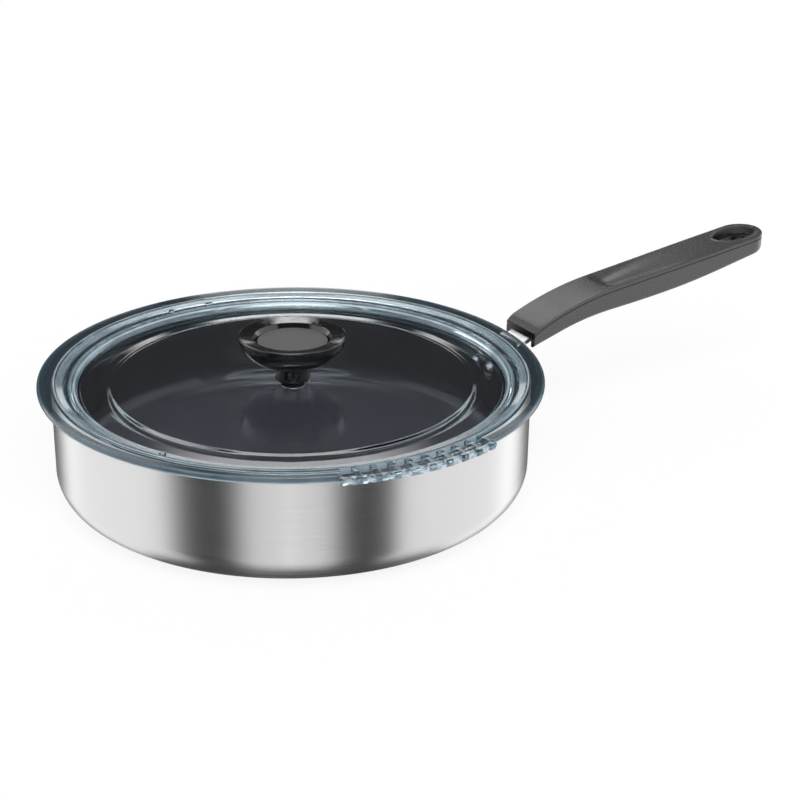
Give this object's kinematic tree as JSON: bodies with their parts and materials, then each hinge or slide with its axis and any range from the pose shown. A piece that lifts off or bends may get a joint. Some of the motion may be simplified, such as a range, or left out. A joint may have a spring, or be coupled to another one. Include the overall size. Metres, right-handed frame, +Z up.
{
  "type": "frying pan with lid",
  "caption": "Deep round steel frying pan with a dark non-stick inside, a long moulded handle with a hanging eye, and a recessed glass lid with a bowl-shaped knob and a straining comb.",
  "frame": {"origin": "centre of the base's underside, on the hob or table", "axes": "+Z up along the pan's axis, +X along the handle, away from the pan"},
  "size_m": [0.4734, 0.2805, 0.1014],
  "materials": {
    "pan_steel": "brushed round the wall, satin",
    "nonstick": "dark satin non-stick coating",
    "core_aluminium": "plain",
    "base_steel": "turned in fine rings",
    "rivet_metal": "coated with the lining",
    "bracket_steel": "satin",
    "handle_plastic": "fine matt moulding texture",
    "fastener_steel": "bright",
    "lid_glass": "clear pressed glass, faint blue-green edge",
    "knob_plastic": "black, satin gloss",
    "knob_disc": "grey satin",
    "insert_brass": "plain",
    "silicone": "soft matt"
  },
  "bodies": {
    "pan": {"pan_shell": "pan_steel", "nonstick_lining": "nonstick", "base_heat_core": "core_aluminium", "base_induction_cap": "base_steel", "rivet_left": "rivet_metal", "rivet_right": "rivet_metal", "handle_bracket": "bracket_steel", "handle_grip": "handle_plastic", "handle_screw": "fastener_steel"},
    "lid_fastener": {"knob_screw": "fastener_steel", "knob_washer": "fastener_steel"},
    "lid": {"lid_glass": "lid_glass", "lid_knob": "knob_plastic", "knob_disc": "knob_disc", "knob_threaded_insert": "insert_brass", "upper_seal": "silicone", "lower_seal": "silicone"}
  },
  "joints": [
    {"name": "lid_lift", "type": "slide", "parent": "pan", "child": "lid_fastener", "axis": [0, 0, 1], "range_m": [0, 0.12]},
    {"name": "lid_turn", "type": "hinge", "parent": "lid_fastener", "child": "lid", "pos_m": [0, 0, 0.0614], "axis": [0, 0, 1], "continuous": true}
  ]
}
